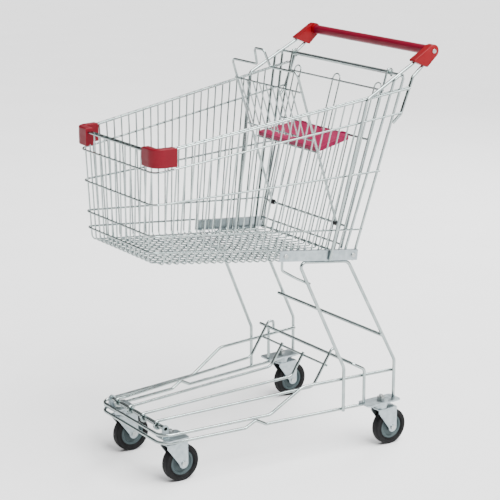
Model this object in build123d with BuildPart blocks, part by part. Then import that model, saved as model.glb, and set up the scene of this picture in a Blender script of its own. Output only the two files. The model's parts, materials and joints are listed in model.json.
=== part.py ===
from build123d import *
import os
from math import atan2, cos, hypot, radians, sin, sqrt

os.makedirs("parts", exist_ok=True)

# A wire shopping cart with a child seat, a bottle tray and four swivel castors.
# The frame: X points forward, Y to the cart's left, Z up, origin on the floor.

# Wire and rod diameters.
grid_d = 4.0
hoop_d = 5.0
rim_d = 5.6
post_d = 7.0
handle_wire_d = 8.4
leg_d = 8.8
rail_d = 8.4
cross_d = 9.0
tray_d = 7.6
strut_d = 7.0
weld = 0.2
kiss = 0.05
touch = 0.02

# Basket: where its planes lie and how they taper.
front_x = 400.0
side_half = 182.0
side_ref_z = 850.0
side_taper = 0.0963
side_flare = 0.107
floor_front_z = 598.0
floor_fall = 0.114
rim_front_z = 884.0
rim_rise = 0.1425
rim_rear_x = -317.0
hoop_front_z = [835.0, 754.0, 674.0, 632.0]
hoop_rise = [0.126, 0.027, -0.095, -0.11]
hoop_rear_x = [-296.0, -246.0, -206.0, 50.0]
corner_run = 30.0
corner_bend = 24.0
bottom_bend = 14.0
bottom_turn = 22.0
side_wires = 25
side_first_x = 366.0
side_last_x = -136.0
side_lean = 0.215
front_wires = 12
front_pitch = 21.5
front_spread = 1.2
floor_fan = 1.22

# Rear posts: the two legs of an inverted U on each side.
post_rear_foot = (-187.0, 531.0)
post_rear_top = (-299.5, 1032.0)
post_front_top = (-268.0, 1010.0)
post_front_foot = (-156.0, 536.0)
post_bend = 9.0

# Rear gate, its hinge and its stop.
hinge_x = -296.0
hinge_z = 1020.0
hinge_rod_d = 7.0
hinge_clear = 0.1
sleeve_d = 11.0
sleeve_half = 213.0
gate_foot_x = -168.0
gate_foot_z = 570.0
gate_wire_d = 4.0
gate_side_d = 6.0
gate_bar_d = 5.0
gate_side_foot = 184.0
gate_side_top = 209.0
gate_tip_z = 544.0
gate_top_z = 973.0
gate_pitch = 30.0
gate_pin_d = 6.0
seat_pin_z = 845.0
back_pin_z = 620.0
stop_z = 548.0
stop_d = 6.0
rest_gap = 0.3

# Child seat plate and its backrest frame.
seat_front_x = -119.0
seat_drop = 9.2
seat_front_half = 139.0
seat_rear_half = 122.0
seat_thick = 3.5
seat_lip = 11.0
seat_wall = 3.0
seat_ear_d = 11.0
seat_ear_y = 90.0
seat_ear_len = 18.0
back_d = 6.5
back_half = 147.0
back_top_x = -44.0
back_top_z = 1034.0
back_bar_d = 4.6
back_wire_d = 3.6
back_wires = 9
tip_d = 14.0
tip_len = 16.0

# Handle.
bar_x = -395.3
bar_z = 1074.5
grip_d = 25.0
tube_d = 19.0
bracket_in = 247.0
bracket_thick = 21.0
bracket_r = 17.0
collar_d = 28.0
collar_len = 9.0
handle_y = 257.0

# Side plates under the basket.
plate_front_x = 45.0
plate_rear_x = -192.0
plate_high = 28.0
plate_deep = 13.0
plate_wall = 2.0

# Legs and chassis.
leg_front_x = -155.0
leg_rear_x = -315.0
leg_front_knee_z = 241.0
leg_rear_knee_z = 238.0
leg_top_front_x = -16.0
leg_top_rear_x = -168.0
leg_bend = 24.0
rail_front_x = 378.0
rail_front_half = 158.0
rail_taper = 0.0955
rail_corner = 36.0
upper_rail_z = 144.0
lower_rail_z = 122.4
rise_foot_x = 65.0
rise_head_x = -34.0
upper_rear_z = 206.0
kink_x = 107.0
front_tube_x = 355.0
front_tube_d = 12.0
front_tube_half = 138.0
tube_tab_t = 4.0
tube_tab_wrap = 3.5
rest_x = -184.0
rest_z = 246.5

# Bottle tray.
tray_front_half = 100.0
tray_rear_half = 148.0
tray_bend_x = -104.0
tray_bend_z = 178.0
tray_cross_d = 6.0
tray_clear = 0.35

# Castors.
castor_front_x = 334.0
castor_front_y = 126.0
castor_rear_x = -273.0
castor_rear_y = 231.5
trail = 29.0
wheel_d = 100.0
tyre_w = 26.0
core_d = 66.0
core_w = 19.0
hub_d = 20.0
fork_in = 16.0
fork_wall = 2.5
crown_z = 106.0
crown_thick = 3.0
race_d = 38.0
race_split_z = 117.0
axle_d = 8.0
bolt_d = 10.0
castor_plate_t = 4.0
run_clear = 0.1
nut_af = 19.0

# Corner bumpers.
bumper_high = 48.0
bumper_top = 12.0
bumper_out = 9.5
bumper_leg = 50.0
bumper_deep = 21.0
bumper_round = 4.0


def side_y(x, z):
    """Half width of the basket's side plane at x and z."""
    return side_half + side_taper * (front_x - x) + side_flare * (z - side_ref_z)


def floor_z(x):
    """Height of the floor's cross wires."""
    return floor_front_z - floor_fall * (front_x - x)


def rim_z(x):
    """Height of the rim."""
    return rim_front_z + rim_rise * (front_x - x)


def side_point(x, z, side, out=0.0):
    """A point of a side plane, moved outward along its normal."""
    long = sqrt(side_taper**2 + 1 + side_flare**2)
    base = side_y(x, z)
    step = out / long
    return (x + side_taper * step, side * (base + step), z - side_flare * step)


def wire(points, dia, bend=10.0):
    """A round wire along straight runs joined by arcs."""
    with BuildPart() as made:
        with BuildLine() as path:
            if len(points) == 2:
                Line(points[0], points[1])
            else:
                FilletPolyline(*points, radius=bend)
        with BuildSketch(Plane(origin=path.line @ 0, z_dir=path.line % 0)):
            Circle(dia / 2)
        sweep(path=path.line)
    return made.part


def cylinder(origin, direction, dia, length):
    """A plain cylinder from a point along a direction."""
    with BuildPart() as made:
        with BuildSketch(Plane(origin=origin, z_dir=direction)):
            Circle(dia / 2)
        extrude(amount=length)
    return made.part


def finish(part, name):
    part.label = name
    export_step(part, "parts/" + name + ".step")


# ---------------------------------------------------------------- rear posts
def rear_post(side):
    corners = [post_rear_foot, post_rear_top, post_front_top, post_front_foot]
    return wire([side_point(x, z, side) for x, z in corners], post_d, post_bend)


left_post_wire = rear_post(1)
right_post_wire = rear_post(-1)

with BuildPart() as left_post:
    add(left_post_wire)
finish(left_post.part, "left_rear_post")

with BuildPart() as right_post:
    add(right_post_wire)
finish(right_post.part, "right_rear_post")


# ---------------------------------------------------------------- basket sides
def side_foot(index):
    """Foot and top x of one upright of a side, which fan backwards."""
    share = index / (side_wires - 1)
    foot = side_first_x + share * (side_last_x - side_first_x)
    slope = side_lean * share
    top = foot - slope * (rim_z(foot) - floor_z(foot)) / (1 - slope * rim_rise)
    return foot, top


def side_upright(foot, top, side):
    low = floor_z(foot)
    head = side_point(top, rim_z(top) + rim_d / 2, side)
    corner = side_point(foot, low, side)
    inner = (foot, side * (side_y(foot, low) - bottom_turn), low)
    return wire([head, corner, inner], grid_d, bottom_bend)


hoop_out = (grid_d + hoop_d) / 2 - weld
rim_out = (grid_d + rim_d) / 2 - kiss


def hoop_z(index, x):
    return hoop_front_z[index] + hoop_rise[index] * (front_x - x)


def hoop_corner(index, side):
    """The three points of a hoop's rounded front corner."""
    x = front_x + hoop_out
    z = hoop_z(index, front_x)
    half = side_point(front_x, z, 1, hoop_out)[1]
    back = side_point(front_x - corner_run, hoop_z(index, front_x - corner_run), side, hoop_out)
    return [back, (x, side * half, z), (x, side * (half - corner_run), z)]


def side_panel(side):
    pieces = []
    for index in range(side_wires):
        foot, top = side_foot(index)
        pieces.append(side_upright(foot, top, side))
    for index in range(4):
        start = hoop_corner(index, side)[0]
        rear = hoop_rear_x[index]
        pieces.append(wire([start, side_point(rear, hoop_z(index, rear), side, hoop_out)], hoop_d))
    return pieces


left_panel = side_panel(1)
right_panel = side_panel(-1)

with BuildPart() as left_side:
    add(left_panel, clean=False)
    add(left_post_wire, mode=Mode.SUBTRACT)
finish(left_side.part, "basket_left_side")

with BuildPart() as right_side:
    add(right_panel, clean=False)
    add(right_post_wire, mode=Mode.SUBTRACT)
finish(right_side.part, "basket_right_side")


# ---------------------------------------------------------------- front and corners
def long_z(x):
    """Height of the floor's long wires, which lie on the cross wires."""
    return floor_z(x) + grid_d - weld


def front_upright(y_low, side_turn):
    """A front upright that turns under into the floor."""
    turn_x = front_x - side_turn
    high = rim_z(front_x) + rim_d / 2
    return wire(
        [
            (front_x, y_low * front_spread, high),
            (front_x, y_low, long_z(front_x)),
            (turn_x, y_low, long_z(turn_x)),
        ],
        grid_d,
        bottom_bend,
    )


front_feet = [front_pitch * (index - (front_wires - 1) / 2) for index in range(front_wires)]
front_pieces = [front_upright(y, bottom_turn) for y in front_feet]
for number in range(4):
    left_end = hoop_corner(number, 1)[2]
    right_end = hoop_corner(number, -1)[2]
    front_pieces.append(wire([left_end, right_end], hoop_d))

with BuildPart() as front_panel:
    add(front_pieces, clean=False)
finish(front_panel.part, "basket_front")


def rim_corner(side, out):
    """The three points of a rim wire's rounded front corner."""
    half = side_point(front_x, rim_front_z, 1, out)[1]
    back_x = front_x - corner_run
    back = side_point(back_x, rim_z(back_x), side, out)
    x = front_x + out
    return [back, (x, side * half, rim_front_z), (x, side * (half - corner_run), rim_front_z)]


def corner_pieces(side):
    """Rounded hoop and rim corners with the upright that stands in them."""
    made = [wire(hoop_corner(index, side), hoop_d, corner_bend) for index in range(4)]
    outer = front_feet[-1] + front_pitch
    made.append(front_upright(side * outer, bottom_turn))
    made += [wire(rim_corner(side, out), rim_d, corner_bend) for out in (rim_out, -rim_out)]
    return made


left_corner = corner_pieces(1)
right_corner = corner_pieces(-1)

with BuildPart() as corners:
    add(left_corner + right_corner, clean=False)
finish(corners.part, "basket_corners")


# ---------------------------------------------------------------- floor
gate_slope = (hinge_x - gate_foot_x) / (hinge_z - gate_foot_z)
gate_long = hypot(1.0, gate_slope)
gate_up = (gate_slope / gate_long, 1 / gate_long)
gate_fore = (1 / gate_long, -gate_slope / gate_long)


def gate_x(z):
    return hinge_x + gate_slope * (z - hinge_z)


stop_off = (gate_wire_d + stop_d) / 2 + rest_gap
stop_x = gate_x(stop_z) - gate_fore[0] * stop_off
stop_y = stop_z - gate_fore[1] * stop_off
lip_x = stop_x - (stop_d + grid_d) / 2 + weld
lip_half = side_y(lip_x, stop_y) - bottom_turn

floor_pieces = []
for index in range(side_wires):
    foot, top = side_foot(index)
    half = side_y(foot, floor_z(foot)) - bottom_turn
    floor_pieces.append(wire([(foot, -half, floor_z(foot)), (foot, half, floor_z(foot))], grid_d))
front_turn_x = front_x - bottom_turn
outer_foot = front_feet[-1] + front_pitch
all_feet = [-outer_foot] + front_feet + [outer_foot]
for y in all_feet:
    start = (front_turn_x, y, long_z(front_turn_x))
    knee = (lip_x, y * floor_fan, long_z(lip_x))
    floor_pieces.append(wire([start, knee, (lip_x, y * floor_fan, stop_y + stop_d / 2)], grid_d, 6.0))
floor_pieces.append(wire([(stop_x, -lip_half, stop_y), (stop_x, lip_half, stop_y)], stop_d))

with BuildPart() as basket_floor:
    add(floor_pieces, clean=False)
finish(basket_floor.part, "basket_floor")


# ---------------------------------------------------------------- rim
side_rims = []
front_rims = []
for out in (rim_out, -rim_out):
    for side in (1, -1):
        start = rim_corner(side, out)[0]
        side_rims.append(wire([start, side_point(rim_rear_x, rim_z(rim_rear_x), side, out)], rim_d))
    front_rims.append(wire([rim_corner(1, out)[2], rim_corner(-1, out)[2]], rim_d))

with BuildPart() as side_rim:
    add(side_rims, clean=False)
    add([left_post_wire, right_post_wire], mode=Mode.SUBTRACT)
finish(side_rim.part, "basket_side_rims")

with BuildPart() as front_rim:
    add(front_rims, clean=False)
finish(front_rim.part, "basket_front_rim")


# ---------------------------------------------------------------- corner bumpers
def bumper(side):
    """A soft moulding that clips over the rim's corner."""
    far_x = front_x + bumper_out + rim_d / 2
    mid_z = rim_front_z - bumper_high / 2 + bumper_top
    half = side_y(front_x, mid_z) + bumper_out + rim_d / 2
    rear_x = front_x - bumper_leg
    rear_half = half + side_taper * (far_x - rear_x)
    deep = bumper_deep
    with BuildPart() as made:
        with BuildSketch(Plane.XY.offset(mid_z - bumper_high / 2)) as outline:
            with BuildLine():
                Polyline(
                    (far_x, half - bumper_leg - bumper_out),
                    (far_x, half),
                    (rear_x, rear_half),
                    (rear_x, rear_half - deep),
                    (far_x - deep, half - deep + side_taper * deep),
                    (far_x - deep, half - bumper_leg - bumper_out),
                    close=True,
                )
            make_face()
            outer = outline.vertices().sort_by_distance((far_x, half, mid_z - bumper_high / 2))[0]
            fillet(outer, corner_bend + bumper_out)
        extrude(amount=bumper_high)
        crown = made.edges().filter_by(Plane.XY)
        fillet(crown, bumper_round)
    if side > 0:
        return made.part
    return made.part.mirror(Plane.XZ)


with BuildPart() as bumpers:
    add([bumper(1), bumper(-1)])
    add([corners.part, front_panel.part, left_side.part, right_side.part], mode=Mode.SUBTRACT)
    add([side_rim.part, front_rim.part], mode=Mode.SUBTRACT)
finish(bumpers.part, "corner_bumpers")


# ---------------------------------------------------------------- gate
left_end = side_y(hinge_x, hinge_z) - post_d / 2 + kiss
hinge_rod_wire = cylinder((hinge_x, -left_end, hinge_z), (0, 1, 0), hinge_rod_d, 2 * left_end)

with BuildPart() as hinge_rod:
    add(hinge_rod_wire)
finish(hinge_rod.part, "gate_hinge_rod")

with BuildPart() as sleeve:
    with BuildSketch(Plane(origin=(hinge_x, -sleeve_half, hinge_z), z_dir=(0, 1, 0))):
        Circle(sleeve_d / 2)
        Circle(hinge_rod_d / 2 + hinge_clear, mode=Mode.SUBTRACT)
    extrude(amount=2 * sleeve_half)
finish(sleeve.part, "gate_hinge_sleeve")


def gate_point(z, y, fore=0.0):
    """A point of the gate's plane, moved forward along its normal."""
    return (gate_x(z) + gate_fore[0] * fore, y, z + gate_fore[1] * fore)


def gate_bar(z, half, dia, touch):
    off = (gate_wire_d + dia) / 2 - touch
    return wire([gate_point(z, -half, off), gate_point(z, half, off)], dia)


def gate_half(z):
    """Half width of the gate's outer wires at a height."""
    share = (z - gate_foot_z) / (hinge_z - gate_foot_z)
    return gate_side_foot + share * (gate_side_top - gate_side_foot)


pin_off = (gate_wire_d + gate_pin_d) / 2 - weld
seat_pin = gate_point(seat_pin_z, 0, pin_off)
back_pin = gate_point(back_pin_z, 0, pin_off)
low_ys = [45.0, 75.0, 105.0, 129.0]
grid = []
for y in low_ys:
    for side in (1, -1):
        ends = [gate_point(gate_tip_z, side * y), gate_point(seat_pin_z + 3, side * y)]
        grid.append(wire(ends, gate_wire_d))
grid.append(gate_bar(seat_pin_z, gate_half(seat_pin_z) - gate_side_d / 2, gate_pin_d, weld))
grid.append(gate_bar(back_pin_z, gate_half(back_pin_z) - gate_side_d / 2, gate_pin_d, weld))
grid.append(gate_bar(gate_foot_z + 2, gate_half(gate_foot_z) - gate_side_d / 2, gate_bar_d, weld))

with BuildPart() as gate_grid:
    add(grid, clean=False)
finish(gate_grid.part, "gate_grid")


def hairpin(low_a, low_b, top_a, top_b):
    """Two uprights joined by a round loop above the gate's top bar."""
    crest = gate_top_z + 17
    shape = [gate_point(gate_tip_z, low_a), gate_point(crest, top_a)]
    shape += [gate_point(crest, top_b), gate_point(gate_tip_z, low_b)]
    return wire(shape, gate_wire_d, abs(top_b - top_a) / 2 - 0.3)


with BuildPart() as hairpins:
    add(hairpin(-15.0, 15.0, -15.0, 15.0))
    add(hairpin(158.0, 175.0, 163.0, 192.0))
    add(hairpin(-158.0, -175.0, -163.0, -192.0))
    add(gate_grid.part, mode=Mode.SUBTRACT)
finish(hairpins.part, "gate_hairpins")


def gate_side(side):
    """An outer upright that wraps over the hinge sleeve at its top."""
    wrap = (sleeve_d + gate_side_d) / 2 - kiss
    y = side * gate_side_top

    def near_hinge(up, fore):
        x = hinge_x + gate_up[0] * up + gate_fore[0] * fore
        return (x, y, hinge_z + gate_up[1] * up + gate_fore[1] * fore)

    foot = gate_point(gate_foot_z - 8, side * gate_side_foot)
    shape = [foot, near_hinge(wrap + 2, wrap), near_hinge(wrap + 2, -wrap), near_hinge(-wrap, -wrap)]
    return wire(shape, gate_side_d, wrap - 0.3)


with BuildPart() as gate_sides:
    add([gate_side(1), gate_side(-1)])
    add(gate_grid.part, mode=Mode.SUBTRACT)
finish(gate_sides.part, "gate_side_wires")

with BuildPart() as gate_top:
    add(gate_bar(gate_top_z, gate_half(gate_top_z), gate_bar_d, kiss))
    add(gate_sides.part, mode=Mode.SUBTRACT)
finish(gate_top.part, "gate_top_bar")


# ---------------------------------------------------------------- child seat
tilt = radians(-seat_drop)
seat_u = (cos(tilt), sin(tilt))
seat_n = (-sin(tilt), cos(tilt))
seat_long = (seat_front_x - seat_pin[0]) / seat_u[0]
seat_top = 3.0
seat_rear = gate_pin_d / 2 + 2.0
seat_plane = Plane(origin=seat_pin, x_dir=(seat_u[0], 0, seat_u[1]), z_dir=(seat_n[0], 0, seat_n[1]))


def seat_points(inset):
    """Corners of the seat plate, which is wider in front."""
    near = seat_rear + inset
    far = seat_long - inset
    rear_half = seat_rear_half - inset
    front_half = seat_front_half - inset
    return [(near, -rear_half), (far, -front_half), (far, front_half), (near, rear_half)]


with BuildPart() as seat:
    with BuildSketch(seat_plane.offset(seat_top - seat_lip)) as seat_base:
        with BuildLine():
            Polyline(*seat_points(0.0), close=True)
        make_face()
        fillet(seat_base.vertices(), 12.0)
    extrude(amount=seat_lip)
    top_face = seat.faces().sort_by_distance(seat_plane.from_local_coords((seat_long / 2, 0, seat_top)))[0]
    fillet(top_face.edges(), 1.5)
    with BuildSketch(seat_plane.offset(seat_top - seat_lip)) as seat_hollow:
        with BuildLine():
            Polyline(*seat_points(seat_wall), close=True)
        make_face()
        fillet(seat_hollow.vertices(), 9.0)
    extrude(amount=seat_lip - seat_thick, mode=Mode.SUBTRACT)
    for side in (1, -1):
        y0 = side * seat_ear_y - seat_ear_len / 2
        with BuildSketch(Plane(origin=(seat_pin[0], y0, seat_pin[2]), z_dir=(0, 1, 0))):
            Circle(seat_ear_d / 2)
        extrude(amount=seat_ear_len)
        spot = seat_plane.from_local_coords((0, y0, 0))
        with BuildSketch(Plane(origin=spot, x_dir=(seat_u[0], 0, seat_u[1]), z_dir=(0, 1, 0))):
            with Locations((seat_rear / 2 + 1, 0)):
                Rectangle(seat_rear + 4, 5.0)
        extrude(amount=seat_ear_len)
    with BuildSketch(Plane(origin=(seat_pin[0], -seat_front_half, seat_pin[2]), z_dir=(0, 1, 0))):
        Circle(gate_pin_d / 2 + hinge_clear)
    extrude(amount=2 * seat_front_half, mode=Mode.SUBTRACT)
    with BuildSketch(seat_plane.offset(-seat_lip)):
        with Locations((seat_rear, 0)):
            Rectangle(10.0, 24.0)
    extrude(amount=2 * seat_lip, mode=Mode.SUBTRACT)
finish(seat.part, "seat_plate")

back_run = hypot(back_top_x - back_pin[0], back_top_z - back_pin[2])
back_u = ((back_top_x - back_pin[0]) / back_run, (back_top_z - back_pin[2]) / back_run)
back_f = (back_u[1], -back_u[0])


def back_point(up, y, fore=0.0):
    """A point of the backrest's plane, measured up from its pivot."""
    x = back_pin[0] + back_u[0] * up + back_f[0] * fore
    return (x, y, back_pin[2] + back_u[1] * up + back_f[1] * fore)


def back_bar(up, fore, dia, half):
    return wire([back_point(up, -half, fore), back_point(up, half, fore)], dia)


back_foot = gate_pin_d / 2 + 1.4
hump_half = 30.0
hump_high = 47.0
back_wire = wire(
    [
        back_point(back_foot, back_half),
        back_point(back_run, back_half),
        back_point(back_run, hump_half),
        back_point(back_run + hump_high, hump_half - 9),
        back_point(back_run + hump_high, 9 - hump_half),
        back_point(back_run, -hump_half),
        back_point(back_run, -back_half),
        back_point(back_foot, -back_half),
    ],
    back_d,
    [14.0, 7.0, 12.0, 12.0, 7.0, 14.0],
)

with BuildPart() as back_frame:
    add(back_wire)
finish(back_frame.part, "backrest_frame")

bar_off = (back_d + back_bar_d) / 2 - kiss
thin_off = bar_off + (back_bar_d + back_wire_d) / 2 - weld
bar_low_up = 244.6
bar_high_up = 381.0
bars = [back_bar(up, bar_off, back_bar_d, back_half) for up in (bar_low_up, bar_high_up)]
for number in range(back_wires):
    y = (number - (back_wires - 1) / 2) * 29.0
    low = back_point(bar_low_up - 3, y, thin_off)
    bars.append(wire([low, back_point(bar_high_up + 3, y, thin_off)], back_wire_d))

# The rest bar lies under the seat plate's front lip, behind the backrest frame.
rest_r = back_bar_d / 2
rest_back = -bar_off
lip_low = seat_top - seat_lip - rest_r - rest_gap
edge = (seat_pin[0] + seat_n[0] * lip_low, seat_pin[2] + seat_n[1] * lip_low)
base = (back_pin[0] + back_f[0] * rest_back, back_pin[2] + back_f[1] * rest_back)
cross = back_u[0] * seat_u[1] - back_u[1] * seat_u[0]
rest_up = ((edge[0] - base[0]) * seat_u[1] - (edge[1] - base[1]) * seat_u[0]) / cross

with BuildPart() as back_bars:
    add(bars, clean=False)
    add(back_bar(rest_up, rest_back, back_bar_d, back_half))
finish(back_bars.part, "backrest_bars")

with BuildPart() as tips:
    for side in (1, -1):
        spot = (back_pin[0], side * back_half - tip_len / 2, back_pin[2])
        with BuildSketch(Plane(origin=spot, z_dir=(0, 1, 0))):
            Circle(tip_d / 2)
            Circle(gate_pin_d / 2 + hinge_clear, mode=Mode.SUBTRACT)
        extrude(amount=tip_len)
    add(back_wire, mode=Mode.SUBTRACT)
finish(tips.part, "backrest_pivot_tips")


# ---------------------------------------------------------------- handle
bracket_shape = [(61.5, -20.0), (20.5, -36.5)]
front_socket = (55.0, -24.5)
rear_socket = (27.5, -36.5)
socket_deep = 24.0
rear_knee = (-334.0, 1012.0)
rear_low = (-297.5, 918.0)
rear_tail = (-275.5, 896.0)
rim_corner_x = -184.0
post_foot_x = -105.0


def handle_front(side):
    """The wire that runs from the bracket to the rim and down the outside."""
    entry = (bar_x + front_socket[0], side * handle_y, bar_z + front_socket[1])
    out = rim_out + (rim_d + handle_wire_d) / 2 - kiss
    turn = side_point(rim_corner_x, rim_z(rim_corner_x) + 3, side, out)
    run = [turn[i] - entry[i] for i in range(3)]
    long = sqrt(sum(value**2 for value in run))
    inside = tuple(entry[i] - run[i] * socket_deep / long for i in range(3))
    foot_out = grid_d / 2 + plate_deep + handle_wire_d / 2 + kiss
    foot = side_point(post_foot_x, floor_z(post_foot_x) + leg_d / 2 + 4, side, foot_out)
    return wire([inside, turn, foot], handle_wire_d, 12.0)


def handle_rear(side):
    """The rear wire, which turns forward to end at the rear post."""
    entry = (bar_x + rear_socket[0], side * handle_y, bar_z + rear_socket[1])
    knee = (rear_knee[0], side * (handle_y + 0.5), rear_knee[1])
    run = [knee[i] - entry[i] for i in range(3)]
    long = sqrt(sum(value**2 for value in run))
    inside = tuple(entry[i] - run[i] * socket_deep / long for i in range(3))
    low = (rear_low[0], side * side_y(*rear_low), rear_low[1])
    tail = (rear_tail[0], side * (side_y(*rear_tail) + 0.0), rear_tail[1])
    return wire([inside, knee, low, tail], handle_wire_d, 10.0)


handle_wires = {side: [handle_front(side), handle_rear(side)] for side in (1, -1)}

with BuildPart() as left_handle:
    add(handle_wires[1])
    add([left_post_wire, hinge_rod_wire], mode=Mode.SUBTRACT)
finish(left_handle.part, "left_handle_wires")

with BuildPart() as right_handle:
    add(handle_wires[-1])
    add([right_post_wire, hinge_rod_wire], mode=Mode.SUBTRACT)
finish(right_handle.part, "right_handle_wires")

tube_half = bracket_in + bracket_thick - 5.0
grip_half = bracket_in - collar_len
grip_wall = (grip_d - tube_d) / 2

with BuildPart() as handle_tube:
    with BuildSketch(Plane(origin=(bar_x, -tube_half, bar_z), z_dir=(0, 1, 0))):
        Circle(tube_d / 2)
        Circle(tube_d / 2 - 1.5, mode=Mode.SUBTRACT)
    extrude(amount=2 * tube_half)
finish(handle_tube.part, "handle_tube")

with BuildPart() as handle_grip:
    with BuildSketch(Plane(origin=(bar_x, -grip_half, bar_z), z_dir=(0, 1, 0))):
        Circle(tube_d / 2 + grip_wall)
        Circle(tube_d / 2, mode=Mode.SUBTRACT)
    extrude(amount=2 * grip_half)
finish(handle_grip.part, "handle_grip")


def bracket():
    """The left plastic end bracket: a paddle with a socket for the tube."""
    with BuildPart() as made:
        spot = (bar_x, bracket_in + bracket_thick, bar_z)
        with BuildSketch(Plane(origin=spot, x_dir=(1, 0, 0), z_dir=(0, -1, 0))):
            Circle(bracket_r)
            with Locations(*bracket_shape):
                Circle(3.5)
            make_hull()
        extrude(amount=bracket_thick)
        rims = made.faces().filter_by(Axis.Y).sort_by(Axis.Y)
        fillet(rims[-1].edges(), 2.5)
        with BuildSketch(Plane(origin=(bar_x, grip_half, bar_z), z_dir=(0, 1, 0))):
            Circle(collar_d / 2)
        extrude(amount=collar_len + 1)
        with BuildSketch(Plane(origin=(bar_x, grip_half, bar_z), z_dir=(0, 1, 0))):
            Circle(tube_d / 2)
        extrude(amount=tube_half - grip_half, mode=Mode.SUBTRACT)
        with BuildSketch(Plane(origin=(bar_x, tube_half, bar_z), z_dir=(0, 1, 0))):
            Circle(2.5)
        extrude(amount=bracket_thick, mode=Mode.SUBTRACT)
    return made.part


left_bracket_body = bracket()

with BuildPart() as left_bracket:
    add(left_bracket_body)
    add(handle_wires[1], mode=Mode.SUBTRACT)
finish(left_bracket.part, "left_handle_bracket")

with BuildPart() as right_bracket:
    add(left_bracket_body.mirror(Plane.XZ))
    add(handle_wires[-1], mode=Mode.SUBTRACT)
finish(right_bracket.part, "right_handle_bracket")


def handle_screw():
    face_y = bracket_in + bracket_thick
    with BuildPart() as made:
        with BuildSketch(Plane(origin=(bar_x, face_y - 5.0, bar_z), z_dir=(0, 1, 0))):
            Circle(2.5)
        extrude(amount=5.0)
        with BuildSketch(Plane(origin=(bar_x, face_y, bar_z), z_dir=(0, 1, 0))):
            Circle(6.0)
        extrude(amount=2.6)
        fillet(made.faces().sort_by(Axis.Y)[-1].edges(), 1.6)
    return made.part


screw = handle_screw()

with BuildPart() as handle_screws:
    add([screw, screw.mirror(Plane.XZ)])
finish(handle_screws.part, "handle_screws")


# ---------------------------------------------------------------- side plates
def leg_run_z(x):
    """The top run of a leg frame lies just under the side plate."""
    return floor_z(x)


def plate_base(x):
    low = leg_run_z(x) + leg_d / 2 + touch
    return (x, side_y(x, low) + grid_d / 2 + kiss, low)


def side_plate():
    """The left pressed channel, open towards the basket."""
    start = Vector(*plate_base(plate_front_x))
    along = Vector(*plate_base(plate_rear_x)) - start
    across = along.cross(Vector(0, 0, 1))
    flare = plate_high * side_flare
    with BuildPart() as made:
        with BuildSketch(Plane(origin=start, x_dir=across, z_dir=along)):
            with BuildLine():
                Polyline(
                    (0, 0),
                    (plate_deep, 0),
                    (plate_deep, -plate_high),
                    (flare, -plate_high),
                    (flare, plate_wall - plate_high),
                    (plate_deep - plate_wall, plate_wall - plate_high),
                    (plate_deep - plate_wall, -plate_wall),
                    (0, -plate_wall),
                    close=True,
                )
            make_face()
        extrude(amount=along.length)
    return made.part


left_plate_body = side_plate()

with BuildPart() as left_plate:
    add(left_plate_body)
    add([left_post_wire, left_side.part], mode=Mode.SUBTRACT)
finish(left_plate.part, "left_side_plate")

with BuildPart() as right_plate:
    add(left_plate_body.mirror(Plane.XZ))
    add([right_post_wire, right_side.part], mode=Mode.SUBTRACT)
finish(right_plate.part, "right_side_plate")


def plate_bolt(x):
    """A low round bolt head on the plate's outer face."""
    start = Vector(*plate_base(plate_front_x))
    along = (Vector(*plate_base(plate_rear_x)) - start).normalized()
    across = along.cross(Vector(0, 0, 1)).normalized()
    down = along.cross(across).normalized()
    step = (x - plate_front_x) / along.X
    spot = start + along * step + across * plate_deep - down * (plate_high / 2)
    with BuildPart() as made:
        with BuildSketch(Plane(origin=spot, z_dir=across)):
            Circle(6.5)
        extrude(amount=3.2)
        fillet(made.faces().sort_by(Axis.Y)[-1].edges(), 1.8)
    return made.part


bolts = [plate_bolt(plate_front_x - 18.0), plate_bolt(plate_rear_x + 14.0)]

with BuildPart() as plate_bolts:
    add(bolts)
    add([bolt.mirror(Plane.XZ) for bolt in bolts])
finish(plate_bolts.part, "plate_bolts")


# ---------------------------------------------------------------- legs and rails
def rail_half(x):
    return rail_front_half + rail_taper * (rail_front_x - x)


plate_low_z = lower_rail_z + rail_d / 2 + touch
plate_top_z = plate_low_z + castor_plate_t
leg_out = (rail_d + leg_d) / 2 - kiss


def leg_top(x, side):
    z = leg_run_z(x)
    return (x, side * (side_y(x, z) + grid_d / 2 + plate_deep / 2), z)


def leg_frame(side):
    front_y = side * (rail_half(leg_front_x) + leg_out)
    rear_y = side * (rail_half(leg_rear_x) + leg_out)
    corners = [
        (leg_front_x, front_y, lower_rail_z - rail_d / 2),
        (leg_front_x, front_y, leg_front_knee_z),
        leg_top(leg_top_front_x, side),
        leg_top(leg_top_rear_x, side),
        (leg_rear_x, rear_y, leg_rear_knee_z),
        (leg_rear_x, rear_y, plate_top_z),
    ]
    return wire(corners, leg_d, [leg_bend, 13.0, leg_bend, leg_bend])


with BuildPart() as left_leg:
    add(leg_frame(1))
finish(left_leg.part, "left_leg_frame")

with BuildPart() as right_leg:
    add(leg_frame(-1))
finish(right_leg.part, "right_leg_frame")

rear_head = leg_top(leg_top_rear_x, 1)
leg_rod_z = 322.0
leg_share = (leg_rod_z - leg_rear_knee_z) / (rear_head[2] - leg_rear_knee_z)
leg_rod_leg_x = leg_rear_x + leg_share * (rear_head[0] - leg_rear_x)
leg_rise = hypot(rear_head[0] - leg_rear_x, rear_head[2] - leg_rear_knee_z)
rod_fore = ((rear_head[2] - leg_rear_knee_z) / leg_rise, -(rear_head[0] - leg_rear_x) / leg_rise)
rod_step = (leg_d + cross_d) / 2 - kiss
rod_y = rail_half(leg_rear_x) + leg_out + 5.0
rod_x = leg_rod_leg_x + rod_fore[0] * rod_step
rod_z = leg_rod_z + rod_fore[1] * rod_step

with BuildPart() as leg_rod:
    add(cylinder((rod_x, -rod_y, rod_z), (0, 1, 0), cross_d, 2 * rod_y))
finish(leg_rod.part, "leg_cross_rod")

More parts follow.
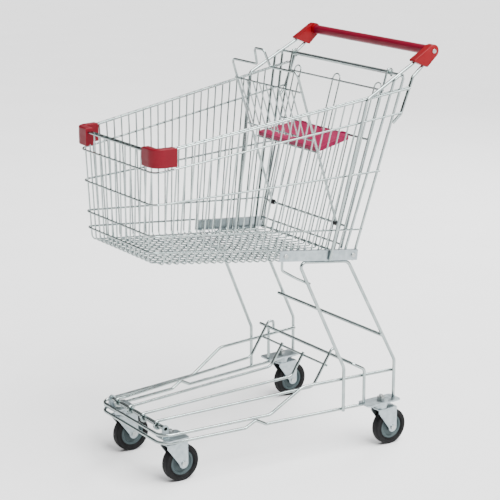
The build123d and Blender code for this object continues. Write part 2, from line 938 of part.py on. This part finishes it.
rest_d = 8.4
strut_x = -220.0
strut_y = rail_half(strut_x) + (rail_d + rest_d) / 2 - kiss
rest_half = strut_y - 4.0
strut_knee_z = 226.0

with BuildPart() as tray_rest:
    add(
        wire(
            [
                (strut_x, strut_y, plate_top_z),
                (strut_x, strut_y, strut_knee_z),
                (rest_x, rest_half, rest_z),
                (rest_x, -rest_half, rest_z),
                (strut_x, -strut_y, strut_knee_z),
                (strut_x, -strut_y, plate_top_z),
            ],
            rest_d,
            [14.0, 12.0, 12.0, 14.0],
        )
    )
finish(tray_rest.part, "tray_rest_rod")


def mirrored(points):
    return points + [(x, -y, z) for x, y, z in reversed(points)]


with BuildPart() as upper_rail:
    half_rail = [
        (leg_rear_x + 1, rail_half(leg_rear_x), upper_rear_z + 1),
        (rise_head_x, rail_half(rise_head_x), upper_rear_z),
        (rise_foot_x, rail_half(rise_foot_x), upper_rail_z + 2),
        (rail_front_x, rail_half(rail_front_x), upper_rail_z),
    ]
    add(wire(mirrored(half_rail), rail_d, [34.0, 34.0, rail_corner, rail_corner, 34.0, 34.0]))
finish(upper_rail.part, "upper_rail")

kink_run = 30.0
kink_bend = 12.0
kink_share = (kink_x - rise_foot_x) / (rail_front_x - rise_foot_x)
kink_z = upper_rail_z + 2 * (1 - kink_share) - rail_d + kiss
kink_half = atan2(kink_z - lower_rail_z, kink_run)
kink_top_z = kink_z + kink_bend * (1 / cos(kink_half) - 1)

with BuildPart() as lower_rail:
    half_rail = [
        (leg_rear_x - 10, rail_half(leg_rear_x - 10), lower_rail_z),
        (kink_x - kink_run, rail_half(kink_x - kink_run), lower_rail_z + 0.001),
        (kink_x, rail_half(kink_x), kink_top_z),
        (kink_x + kink_run, rail_half(kink_x + kink_run), lower_rail_z + 0.001),
        (rail_front_x, rail_half(rail_front_x), lower_rail_z),
    ]
    bends = [kink_bend, kink_bend, kink_bend, rail_corner]
    add(wire(mirrored(half_rail), rail_d, bends + list(reversed(bends))))
finish(lower_rail.part, "lower_rail")

tube_z = upper_rail_z + (rail_d + front_tube_d) / 2 - kiss

with BuildPart() as front_tube:
    with BuildSketch(Plane(origin=(front_tube_x, -front_tube_half, tube_z), z_dir=(0, 1, 0))):
        Circle(front_tube_d / 2)
        Circle(front_tube_d / 2 - 1.5, mode=Mode.SUBTRACT)
    extrude(amount=2 * front_tube_half)
finish(front_tube.part, "front_tube")

# Struts from the plates' front ends down to the front legs.
strut_top_x = 32.0
strut_low = (-50.0, 487.0)


def basket_strut(side):
    leg_y = leg_top(leg_top_front_x, 1)[1]
    foot_y = rail_half(leg_front_x) + leg_out
    top_z = leg_run_z(leg_top_front_x)
    share = (strut_low[1] - leg_front_knee_z) / (top_z - leg_front_knee_z)
    y = foot_y + share * (leg_y - foot_y) - (leg_d + strut_d) / 2 + kiss
    head = plate_base(strut_top_x)
    drop = 26.0
    corners = [
        (head[0], side * (head[1] + 4.5), head[2] - 0.4),
        (head[0], side * (head[1] + 4.0), head[2] - drop),
        (-14.0, side * y, 506.0),
        (strut_low[0] - 6, side * y, strut_low[1] - 2),
    ]
    return wire(corners, strut_d, [12.0, 12.0])


with BuildPart() as struts:
    add([basket_strut(1), basket_strut(-1)])
finish(struts.part, "basket_struts")


# ---------------------------------------------------------------- bottle tray
tray_r = (front_tube_d + tray_d) / 2 + tray_clear
hook_high = 272.0
hook_wide = 18.0
tray_cross_x = -141.0


def tray_wire(front_y, rear_y, hooked):
    """One long wire: a curl round the front tube, the run, then the upturn."""
    low = tube_z - tray_r
    high = tube_z + tray_r
    corners = [
        (front_tube_x - 5, front_y, low),
        (front_tube_x + tray_r, front_y, low),
        (front_tube_x + tray_r, front_y, high),
        (front_tube_x - 22, front_y, high),
        (tray_bend_x, rear_y, tray_bend_z),
    ]
    bends = [tray_r - 0.05, tray_r - 0.05, 60.0, 22.0]
    if hooked:
        corners.append((rest_x + hook_wide, rear_y, hook_high))
        corners.append((rest_x, rear_y, hook_high))
        corners.append((rest_x, rear_y, rest_z + rest_d / 2 + rest_gap))
        bends += [hook_wide / 2 - 0.3, hook_wide / 2 - 0.3]
    else:
        corners.append((tray_cross_x - 4, rear_y, 240.0))
    return wire(corners, tray_d, bends)


inner = tray_front_half / 3
tray_list = [tray_wire(side * tray_front_half, side * tray_rear_half, True) for side in (1, -1)]
tray_list += [tray_wire(side * inner, side * tray_rear_half / 3, False) for side in (1, -1)]

with BuildPart() as tray:
    add(tray_list)
finish(tray.part, "tray_long_wires")

tray_dx = rest_x + hook_wide - tray_bend_x
tray_dz = hook_high - tray_bend_z
tray_len = hypot(tray_dx, tray_dz)
cross_step = (tray_d + tray_cross_d) / 2 - kiss
tray_line_z = tray_bend_z + (tray_cross_x - tray_bend_x) / tray_dx * tray_dz
cross_x = tray_cross_x - tray_dz / tray_len * cross_step
cross_z = tray_line_z + tray_dx / tray_len * cross_step
cross_half = tray_rear_half + tray_d / 2 + 1

with BuildPart() as tray_cross:
    add(cylinder((cross_x, -cross_half, cross_z), (0, 1, 0), tray_cross_d, 2 * cross_half))
finish(tray_cross.part, "tray_cross_wire")


# ---------------------------------------------------------------- castors
castors = {
    "front_left": (castor_front_x, castor_front_y),
    "front_right": (castor_front_x, -castor_front_y),
    "rear_left": (castor_rear_x, castor_rear_y),
    "rear_right": (castor_rear_x, -castor_rear_y),
}

with BuildPart() as castor_plates:
    for side in (1, -1):
        with BuildSketch(Plane.XY.offset(plate_low_z)):
            with Locations((castor_front_x - 1, side * (castor_front_y + 8))):
                RectangleRounded(66.0, 66.0, 8.0)
            with Locations((castor_front_x, side * castor_front_y)):
                Circle(bolt_d / 2, mode=Mode.SUBTRACT)
        extrude(amount=castor_plate_t)
        with BuildSketch(Plane.XY.offset(plate_low_z)):
            with Locations((castor_rear_x + 5, side * castor_rear_y)):
                RectangleRounded(112.0, 50.0, 8.0)
            with Locations((castor_rear_x, side * castor_rear_y)):
                Circle(bolt_d / 2, mode=Mode.SUBTRACT)
        extrude(amount=castor_plate_t)
finish(castor_plates.part, "castor_plates")


def tube_tab():
    """An upright tab on a front castor plate that carries the tube's end."""
    wrap_r = front_tube_d / 2 + tube_tab_wrap
    tall = tube_z - plate_top_z
    spot = (front_tube_x, front_tube_half, tube_z)
    with BuildPart() as made:
        with BuildSketch(Plane(origin=spot, x_dir=(1, 0, 0), z_dir=(0, -1, 0))):
            Circle(wrap_r)
            with Locations((0, -tall / 2)):
                Rectangle(2 * wrap_r, tall)
            Circle(front_tube_d / 2, mode=Mode.SUBTRACT)
        extrude(amount=tube_tab_t)
    return made.part


left_tab = tube_tab()

with BuildPart() as tube_tabs:
    add([left_tab, left_tab.mirror(Plane.XZ)])
finish(tube_tabs.part, "tube_tabs")

head_z = crown_z - 0.3
head_thick = 5.0
with BuildPart() as castor_bolts:
    for x, y in castors.values():
        with BuildSketch(Plane.XY.offset(head_z - head_thick)):
            with Locations((x, y)):
                Circle(bolt_d / 2 + 3)
        extrude(amount=head_thick)
        with BuildSketch(Plane.XY.offset(head_z - 1)):
            with Locations((x, y)):
                Circle(bolt_d / 2)
        extrude(amount=plate_top_z + 15 - head_z + 1)
        with BuildSketch(Plane.XY.offset(plate_top_z)):
            with Locations((x, y)):
                RegularPolygon(nut_af / 2, 6, major_radius=False)
        extrude(amount=9.0)
finish(castor_bolts.part, "castor_bolts")

with BuildPart() as races:
    for x, y in castors.values():
        with BuildSketch(Plane.XY.offset(race_split_z + rest_gap)):
            with Locations((x, y)):
                Circle(race_d / 2)
                Circle(bolt_d / 2, mode=Mode.SUBTRACT)
        extrude(amount=plate_low_z - race_split_z - rest_gap)
    add(lower_rail.part, mode=Mode.SUBTRACT)
finish(races.part, "castor_races")

axle_z = wheel_d / 2
cheek_out = fork_in + fork_wall


def fork(x, y):
    """Two cheeks under a crown and a swivel race."""
    with BuildPart() as made:
        for inner_y in (fork_in, -cheek_out):
            spot = (x, y + inner_y + fork_wall, axle_z)
            with BuildSketch(Plane(origin=spot, x_dir=(1, 0, 0), z_dir=(0, -1, 0))):
                with BuildLine():
                    Polyline(
                        (-trail - 13, crown_z + crown_thick - axle_z),
                        (19, crown_z + crown_thick - axle_z),
                        (19, crown_z - axle_z - 8),
                        (11 - trail, -3),
                        (-trail - 13, -2),
                        close=True,
                    )
                make_face()
                with Locations((-trail, 0)):
                    Circle(13)
                    Circle(axle_d / 2, mode=Mode.SUBTRACT)
            extrude(amount=fork_wall)
        with BuildSketch(Plane.XY.offset(crown_z)):
            with Locations((x + (19 - trail - 13) / 2, y)):
                Rectangle(trail + 32, 2 * cheek_out)
            with Locations((x, y)):
                Circle(cheek_out + 1.5)
        extrude(amount=crown_thick)
        with BuildSketch(Plane.XY.offset(crown_z + crown_thick)):
            with Locations((x, y)):
                Circle(race_d / 2 - 1)
        extrude(amount=race_split_z - crown_z - crown_thick)
        with BuildSketch(Plane.XY.offset(crown_z)):
            with Locations((x, y)):
                Circle(bolt_d / 2 + run_clear)
        extrude(amount=race_split_z - crown_z, mode=Mode.SUBTRACT)
    return made.part


def axle(x, y):
    """The axle bolt with a head at each end."""
    with BuildPart() as made:
        with BuildSketch(Plane(origin=(x - trail, y - cheek_out, axle_z), z_dir=(0, 1, 0))):
            Circle(axle_d / 2)
        extrude(amount=2 * cheek_out)
        for low in (-cheek_out - 3.5, cheek_out):
            with BuildSketch(Plane(origin=(x - trail, y + low, axle_z), z_dir=(0, 1, 0))):
                Circle(axle_d / 2 + 3.0)
            extrude(amount=3.5)
    return made.part


def core(x, y):
    """The wheel centre: a disc with a hub and a ring groove on each face."""
    with BuildPart() as made:
        with BuildSketch(Plane(origin=(x - trail, y, axle_z), x_dir=(0, 1, 0), z_dir=(-1, 0, 0))):
            with BuildLine():
                hub_half = fork_in - rest_gap
                web = core_w / 2 - 3.5
                Polyline(
                    (-hub_half, axle_d / 2 + run_clear),
                    (-hub_half, hub_d / 2),
                    (-web, hub_d / 2 + 2),
                    (-web, core_d / 2 - 8),
                    (-core_w / 2, core_d / 2 - 5),
                    (-core_w / 2, core_d / 2),
                    (core_w / 2, core_d / 2),
                    (core_w / 2, core_d / 2 - 5),
                    (web, core_d / 2 - 8),
                    (web, hub_d / 2 + 2),
                    (hub_half, hub_d / 2),
                    (hub_half, axle_d / 2 + run_clear),
                    close=True,
                )
            make_face()
        revolve(axis=Axis((x - trail, y, axle_z), (0, 1, 0)))
    return made.part


def tyre(x, y):
    """A solid tyre with rounded shoulders."""
    with BuildPart() as made:
        with BuildSketch(Plane(origin=(x - trail, y, axle_z), x_dir=(0, 1, 0), z_dir=(-1, 0, 0))) as section:
            with Locations((0, (wheel_d + core_d) / 4)):
                Rectangle(tyre_w, (wheel_d - core_d) / 2)
            outer = section.vertices().group_by(Axis.Z)[-1]
            fillet(outer, 6.0)
            inner = section.vertices().group_by(Axis.Z)[0]
            chamfer(inner, 2.0)
        revolve(axis=Axis((x - trail, y, axle_z), (0, 1, 0)))
    return made.part


for name, spot in castors.items():
    finish(fork(*spot), name + "_fork")
    finish(axle(*spot), name + "_axle")
    finish(core(*spot), name + "_wheel_core")
    finish(tyre(*spot), name + "_tyre")
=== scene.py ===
"""The shopping cart's looks, in metres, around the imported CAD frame."""

import json
from math import cos, pi, radians, sin

import bmesh
import bpy
from mathutils import Matrix, Vector
from mathutils.bvhtree import BVHTree
from mathutils.geometry import intersect_ray_tri


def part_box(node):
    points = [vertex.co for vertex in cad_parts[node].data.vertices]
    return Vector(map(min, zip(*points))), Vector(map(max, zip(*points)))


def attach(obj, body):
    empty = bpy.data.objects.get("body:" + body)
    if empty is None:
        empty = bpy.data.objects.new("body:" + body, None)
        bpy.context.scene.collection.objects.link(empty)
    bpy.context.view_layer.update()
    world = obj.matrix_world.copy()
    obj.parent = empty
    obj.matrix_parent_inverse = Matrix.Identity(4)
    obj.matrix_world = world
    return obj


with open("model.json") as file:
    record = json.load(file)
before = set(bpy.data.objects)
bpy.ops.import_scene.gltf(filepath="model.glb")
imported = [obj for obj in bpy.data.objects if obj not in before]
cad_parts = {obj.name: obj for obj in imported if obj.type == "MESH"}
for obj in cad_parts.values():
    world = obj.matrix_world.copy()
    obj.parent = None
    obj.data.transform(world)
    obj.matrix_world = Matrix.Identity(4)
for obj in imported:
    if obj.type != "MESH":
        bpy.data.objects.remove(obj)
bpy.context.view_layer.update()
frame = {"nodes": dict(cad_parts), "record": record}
nodes = frame["nodes"]

# Weld beads: their radii, and how near two crossings share one bead.
rod_bead = 0.0042
tray_bead = 0.0036
gate_bead = 0.0026
wire_bead = 0.0022
rod_apart = 0.012
wire_apart = 0.006
bead_squash = (1.15, 0.9, 1.0, 1.0)
bead_ripple = 0.05

# Tyre mouldings: radius, half width and height of each ring.
wall_rings = ((0.0385, 0.0009, 0.0005), (0.0360, 0.0006, 0.0004))
tread_ring = (0.0498, 0.0002, 0.0006)
ring_turns = 72
ring_steps = 10

# The bead round the seat plate's top.
seat_inset = 0.008
seat_corner = 0.012
seat_taper = 0.9
seat_bead_half = 0.0014
seat_bead_proud = 0.0003
corner_turns = 10
bead_steps = 8
flat_within = 0.0002


# ---------------------------------------------------------------- materials
def noise(tree, coords, scale, detail=3.0, stretch=None):
    """A noise value at a scale, in cells a metre."""
    texture = tree.nodes.new("ShaderNodeTexNoise")
    texture.inputs["Scale"].default_value = scale
    texture.inputs["Detail"].default_value = detail
    source = coords.outputs["Object"]
    if stretch:
        mapping = tree.nodes.new("ShaderNodeMapping")
        mapping.inputs["Scale"].default_value = stretch
        tree.links.new(source, mapping.inputs["Vector"])
        source = mapping.outputs["Vector"]
    tree.links.new(source, texture.inputs["Vector"])
    return texture.outputs["Fac"]


def spread(tree, value, low, high, start=0.3, end=0.7):
    """A value mapped from the noise's middle band onto low to high."""
    mapped = tree.nodes.new("ShaderNodeMapRange")
    mapped.inputs["From Min"].default_value = start
    mapped.inputs["From Max"].default_value = end
    mapped.inputs["To Min"].default_value = low
    mapped.inputs["To Max"].default_value = high
    tree.links.new(value, mapped.inputs["Value"])
    return mapped.outputs["Result"]


def blend_colours(tree, factor, first, second):
    """A colour between two, chosen by a factor."""
    mix = tree.nodes.new("ShaderNodeMix")
    mix.data_type = "RGBA"
    mix.inputs["A"].default_value = (*first, 1)
    mix.inputs["B"].default_value = (*second, 1)
    tree.links.new(factor, mix.inputs["Factor"])
    return mix.outputs["Result"]


def new_look(name):
    """A material, with its nodes, its coordinates and its shader."""
    material = bpy.data.materials.new(name)
    material.use_nodes = True
    tree = material.node_tree
    coords = tree.nodes.new("ShaderNodeTexCoord")
    return material, tree, coords, tree.nodes["Principled BSDF"]


def bumped(tree, shader, height, depth, strength=0.3):
    """Roughs a shader's surface by a height, to a depth in metres."""
    bump = tree.nodes.new("ShaderNodeBump")
    bump.inputs["Strength"].default_value = strength
    bump.inputs["Distance"].default_value = depth
    tree.links.new(height, bump.inputs["Height"])
    tree.links.new(bump.outputs["Normal"], shader.inputs["Normal"])


def zinc(name, bright, dull, rough_low, rough_high, spangle, grain_depth):
    """Zinc plate: cloudy colour, hazy gloss and a fine drawn grain."""
    material, tree, coords, shader = new_look(name)
    shader.inputs["Metallic"].default_value = 1.0
    cloud = spread(tree, noise(tree, coords, spangle), 0, 1)
    tree.links.new(blend_colours(tree, cloud, dull, bright), shader.inputs["Base Color"])
    haze = spread(tree, noise(tree, coords, spangle * 2.7), rough_low, rough_high)
    tree.links.new(haze, shader.inputs["Roughness"])
    grain = noise(tree, coords, 1500.0, 2.0, (1, 1, 0.25))
    bumped(tree, shader, grain, grain_depth)
    return material


def plastic(name, deep, pale, rough_low, rough_high):
    """Moulded plastic: cloudy pigment, scuffed gloss and a fine skin."""
    material, tree, coords, shader = new_look(name)
    shader.inputs["Specular IOR Level"].default_value = 0.2
    cloud = spread(tree, noise(tree, coords, 14.0), 0, 1)
    tree.links.new(blend_colours(tree, cloud, deep, pale), shader.inputs["Base Color"])
    scuff = noise(tree, coords, 60.0, 6.0, (1, 0.25, 1))
    tree.links.new(spread(tree, scuff, rough_low, rough_high), shader.inputs["Roughness"])
    bumped(tree, shader, noise(tree, coords, 700.0), 0.00003, 0.35)
    return material


def rubber(name):
    """Black tyre rubber with patches of dust."""
    material, tree, coords, shader = new_look(name)
    shader.inputs["Specular IOR Level"].default_value = 0.15
    dust = spread(tree, noise(tree, coords, 90.0, 6.0), 0, 1)
    colours = blend_colours(tree, dust, (0.003, 0.003, 0.0035), (0.010, 0.010, 0.0105))
    tree.links.new(colours, shader.inputs["Base Color"])
    tree.links.new(spread(tree, dust, 0.5, 0.75, 0, 1), shader.inputs["Roughness"])
    bumped(tree, shader, noise(tree, coords, 900.0, 4.0), 0.00008, 0.5)
    return material


looks = {
    "zinc_wire": zinc(
        "bright_zinc", (0.40, 0.45, 0.44), (0.28, 0.33, 0.33), 0.12, 0.26, 35.0, 0.00002
    ),
    "zinc_plate": zinc(
        "satin_zinc", (0.42, 0.48, 0.50), (0.31, 0.36, 0.38), 0.28, 0.45, 80.0, 0.00003
    ),
    "zinc_fastener": zinc(
        "plated_steel", (0.48, 0.50, 0.49), (0.34, 0.37, 0.37), 0.25, 0.40, 120.0, 0.00002
    ),
    "red_bracket": plastic("red_moulding", (0.15, 0.0, 0.003), (0.20, 0.0, 0.004), 0.28, 0.42),
    "crimson_grip": plastic("crimson_grip", (0.12, 0.0, 0.010), (0.16, 0.0, 0.014), 0.30, 0.44),
    "red_bumper": plastic("bumper_red", (0.11, 0.0, 0.006), (0.15, 0.0, 0.008), 0.34, 0.48),
    "crimson_seat": plastic("seat_crimson", (0.17, 0.0, 0.030), (0.22, 0.0, 0.042), 0.32, 0.46),
    "tyre": rubber("tyre_rubber"),
    "wheel_core": plastic("core_grey", (0.040, 0.058, 0.062), (0.060, 0.082, 0.086), 0.45, 0.6),
    "black_tip": plastic("black_nylon", (0.005, 0.005, 0.006), (0.012, 0.012, 0.013), 0.35, 0.5),
}
for part in frame["record"]["subparts"]:
    piece = nodes[part["node"]]
    piece.data.materials.clear()
    piece.data.materials.append(looks[part["material_slot"]])


# ---------------------------------------------------------------- small detail
def place(name, shape, body, slot):
    """Turns a bmesh into a smooth piece that rides on a body and takes its slot's look."""
    mesh = bpy.data.meshes.new(name)
    shape.to_mesh(mesh)
    shape.free()
    mesh.polygons.foreach_set("use_smooth", [True] * len(mesh.polygons))
    piece = bpy.data.objects.new(name, mesh)
    bpy.context.scene.collection.objects.link(piece)
    mesh.materials.append(looks[slot])
    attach(piece, body)


def tree_of(node):
    """A node's triangles and a tree to search them."""
    mesh = nodes[node].data
    points = [v.co.copy() for v in mesh.vertices]
    mesh.calc_loop_triangles()
    faces = [tuple(t.vertices) for t in mesh.loop_triangles]
    return points, faces, BVHTree.FromPolygons(points, faces)


def crossings(first, second, apart):
    """The middles of the places where two welded nodes run into each other."""
    points_a, faces_a, tree_a = tree_of(first)
    points_b, faces_b, tree_b = tree_of(second)
    found = []
    for a, b in tree_a.overlap(tree_b):
        corners_a = [points_a[i] for i in faces_a[a]]
        corners_b = [points_b[i] for i in faces_b[b]]
        for target, edges in ((corners_b, corners_a), (corners_a, corners_b)):
            for k in range(3):
                begin, end = edges[k], edges[(k + 1) % 3]
                along = end - begin
                hit = intersect_ray_tri(*target, along, begin, True)
                if hit and (hit - begin).dot(along) < along.length_squared:
                    found.append(hit)
    groups = []
    for hit in found:
        for group in groups:
            if (group[0] - hit).length < apart:
                group.append(hit)
                break
        else:
            groups.append([hit])
    return [sum(group, Vector()) / len(group) for group in groups]


def weld_beads(name, pairs, body, radius, apart=rod_apart):
    """Lumpy weld nuggets where the wires of two nodes meet."""
    shape = bmesh.new()
    for first, second in pairs:
        for count, spot in enumerate(crossings(first, second, apart)):
            turn = Matrix.Rotation(count * 1.7, 4, "Z") @ Matrix.Rotation(count * 0.9, 4, "X")
            set_down = Matrix.Translation(spot) @ turn @ Matrix.Diagonal(bead_squash)
            bead = bmesh.ops.create_icosphere(
                shape, subdivisions=3, radius=radius, matrix=set_down
            )
            for vertex in bead["verts"]:
                out = vertex.co - spot
                ripple = sin(out.x * 4200 + count) * cos(out.z * 3600) + sin(out.y * 5100)
                vertex.co = spot + out * (1 + bead_ripple * ripple)
    place(name, shape, body, "zinc_wire")


weld_beads(
    "chassis_welds",
    [
        ("left_leg_frame", "upper_rail"),
        ("left_leg_frame", "lower_rail"),
        ("right_leg_frame", "upper_rail"),
        ("right_leg_frame", "lower_rail"),
        ("leg_cross_rod", "left_leg_frame"),
        ("leg_cross_rod", "right_leg_frame"),
        ("tray_rest_rod", "upper_rail"),
        ("basket_struts", "left_leg_frame"),
        ("basket_struts", "right_leg_frame"),
        ("tube_tabs", "castor_plates"),
    ],
    "cart",
    rod_bead,
)
weld_beads(
    "basket_welds",
    [
        ("gate_hinge_rod", "left_rear_post"),
        ("gate_hinge_rod", "right_rear_post"),
        ("basket_front", "basket_front_rim"),
        ("basket_left_side", "basket_side_rims"),
        ("basket_right_side", "basket_side_rims"),
        ("basket_side_rims", "left_handle_wires"),
        ("basket_side_rims", "right_handle_wires"),
        ("basket_floor", "basket_left_side"),
        ("basket_floor", "basket_right_side"),
        ("basket_floor", "basket_front"),
    ],
    "cart",
    wire_bead,
    wire_apart,
)
weld_beads(
    "gate_welds",
    [("gate_top_bar", "gate_hairpins"), ("gate_hinge_sleeve", "gate_side_wires")],
    "gate",
    gate_bead,
)
weld_beads("backrest_welds", [("backrest_bars", "backrest_frame")], "backrest", gate_bead)
weld_beads("tray_welds", [("tray_cross_wire", "tray_long_wires")], "tray", tray_bead)


def skin(shape, rows):
    """Joins rows of points, round a loop, into a tube of faces."""
    steps = len(rows[0])
    for i, row in enumerate(rows):
        ahead = rows[(i + 1) % len(rows)]
        for j in range(steps):
            k = (j + 1) % steps
            shape.faces.new((row[j], row[k], ahead[k], ahead[j]))


def ring(shape, centre, size, side):
    """A low moulded ring round the Y axis, on one face of a wheel."""
    radius, thick, proud = size
    rows = []
    for i in range(ring_turns):
        around = 2 * pi * i / ring_turns
        row = []
        for j in range(ring_steps):
            roll = 2 * pi * j / ring_steps
            reach = radius + thick * cos(roll)
            off = side * proud * sin(roll)
            spot = centre + Vector((reach * cos(around), off, reach * sin(around)))
            row.append(shape.verts.new(spot))
        rows.append(row)
    skin(shape, rows)


def seat_border():
    """A low moulded bead round the seat plate's top."""
    mesh = nodes["seat_plate"].data
    top = max(mesh.polygons, key=lambda face: face.area * (face.normal.z > 0.9))
    normal = top.normal.copy()
    level = normal.dot(mesh.vertices[top.vertices[0]].co)
    flat = [v.co for v in mesh.vertices if abs(normal.dot(v.co) - level) < flat_within]
    down = Vector((normal.z, 0, -normal.x))
    runs = [down.dot(co) for co in flat]
    half = max(co.y for co in flat)
    near, far = min(runs), max(runs)
    middle = (near + far) / 2
    reach = (far - near) / 2

    path = []
    for quarter, (sx, sy) in enumerate(((1, 1), (-1, 1), (-1, -1), (1, -1))):
        for i in range(corner_turns + 1):
            around = pi / 2 * (quarter + i / corner_turns)
            along = sx * (reach - seat_inset - seat_corner) + seat_corner * cos(around)
            across = sy * (half * seat_taper - seat_inset - seat_corner)
            path.append((along, across + seat_corner * sin(around), cos(around), sin(around)))

    shape = bmesh.new()
    rows = []
    for along, across, out_x, out_y in path:
        row = []
        for j in range(bead_steps):
            roll = 2 * pi * j / bead_steps
            wide = seat_bead_half * cos(roll)
            spot = down * (middle + along + wide * out_x) + normal * level
            spot += Vector((0, across + wide * out_y, 0))
            row.append(shape.verts.new(spot + normal * seat_bead_proud * sin(roll)))
        rows.append(row)
    skin(shape, rows)
    bmesh.ops.recalc_face_normals(shape, faces=shape.faces)
    place("seat_plate_bead", shape, "child_seat", "crimson_seat")


seat_border()

for castor in ("front_left", "front_right", "rear_left", "rear_right"):
    low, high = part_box(castor + "_tyre")
    centre = (low + high) / 2
    half = (high.y - low.y) / 2
    walls = bmesh.new()
    for side in (1, -1):
        face = centre + Vector((0, side * half, 0))
        for size in wall_rings:
            ring(walls, face, size, side)
    ring(walls, centre, tread_ring, 1)
    bmesh.ops.recalc_face_normals(walls, faces=walls.faces)
    place(castor + "_tyre_mouldings", walls, castor + "_wheel", "tyre")


# ---------------------------------------------------------------- stage
floor_mesh = bpy.data.meshes.new("studio_floor")
floor_shape = bmesh.new()
bmesh.ops.create_grid(floor_shape, x_segments=2, y_segments=2, size=60)
floor_shape.to_mesh(floor_mesh)
floor_shape.free()
floor = bpy.data.objects.new("studio_floor", floor_mesh)
bpy.context.scene.collection.objects.link(floor)
floor_look, tree, coords, shader = new_look("pale_floor")
haze = spread(tree, noise(tree, coords, 3.0), 0, 1)
pale = blend_colours(tree, haze, (0.86, 0.86, 0.86), (0.88, 0.88, 0.88))
tree.links.new(pale, shader.inputs["Base Color"])
shader.inputs["Roughness"].default_value = 0.8
shader.inputs["Specular IOR Level"].default_value = 0.1
floor_mesh.materials.append(floor_look)


def aimed(name, data, where, facing):
    """Puts a light or a camera somewhere, facing a direction."""
    thing = bpy.data.objects.new(name, data)
    thing.location = where
    thing.rotation_euler = facing.to_track_quat("-Z", "Y").to_euler()
    bpy.context.scene.collection.objects.link(thing)
    return thing


def softbox(name, where, target, size, power):
    """A soft rectangular light that faces a target."""
    light = bpy.data.lights.new(name, "AREA")
    light.shape = "RECTANGLE"
    light.size, light.size_y = size
    light.energy = power
    aimed(name, light, where, Vector(target) - Vector(where))


softbox("key", (0.4, 3.4, 3.6), (0, 0, 0.6), (2.6, 1.6), 160)
softbox("back", (-3.2, -1.6, 2.8), (0, 0, 0.6), (2.2, 1.4), 120)

sun_light = bpy.data.lights.new("overhead", "SUN")
sun_light.energy = 6.5
sun_light.angle = radians(50)
aimed("overhead", sun_light, (0, 0, 0), Vector((0.22, -0.55, -1.3)))

# The sky: pale at the horizon, a dark band above it for the wires to mirror, then grey.
sky = ((0.0, 0.85), (0.11, 0.85), (0.17, 0.02), (0.46, 0.02), (0.72, 0.42))
world = bpy.data.worlds.new("studio")
world.use_nodes = True
tree = world.node_tree
backdrop = tree.nodes["Background"]
coords = tree.nodes.new("ShaderNodeTexCoord")
split = tree.nodes.new("ShaderNodeSeparateXYZ")
tree.links.new(coords.outputs["Generated"], split.inputs["Vector"])
ramp = tree.nodes.new("ShaderNodeValToRGB")
while len(ramp.color_ramp.elements) < len(sky):
    ramp.color_ramp.elements.new(0.5)
for element, (height, grey) in zip(ramp.color_ramp.elements, sky):
    element.position = height
    element.color = (grey, grey, grey * 1.01, 1)
tree.links.new(split.outputs["Z"], ramp.inputs["Fac"])
tree.links.new(ramp.outputs["Color"], backdrop.inputs["Color"])
backdrop.inputs["Strength"].default_value = 1.8
bpy.context.scene.world = world

lens = bpy.data.cameras.new("camera")
lens.lens = 118.87
lens.sensor_width = 36
camera_at = Vector((2.4106, 3.5058, 1.7063))
looks_at = Vector((-0.0009, 0, 0.5415))
camera = aimed("camera", lens, camera_at, looks_at - camera_at)
bpy.context.scene.camera = camera
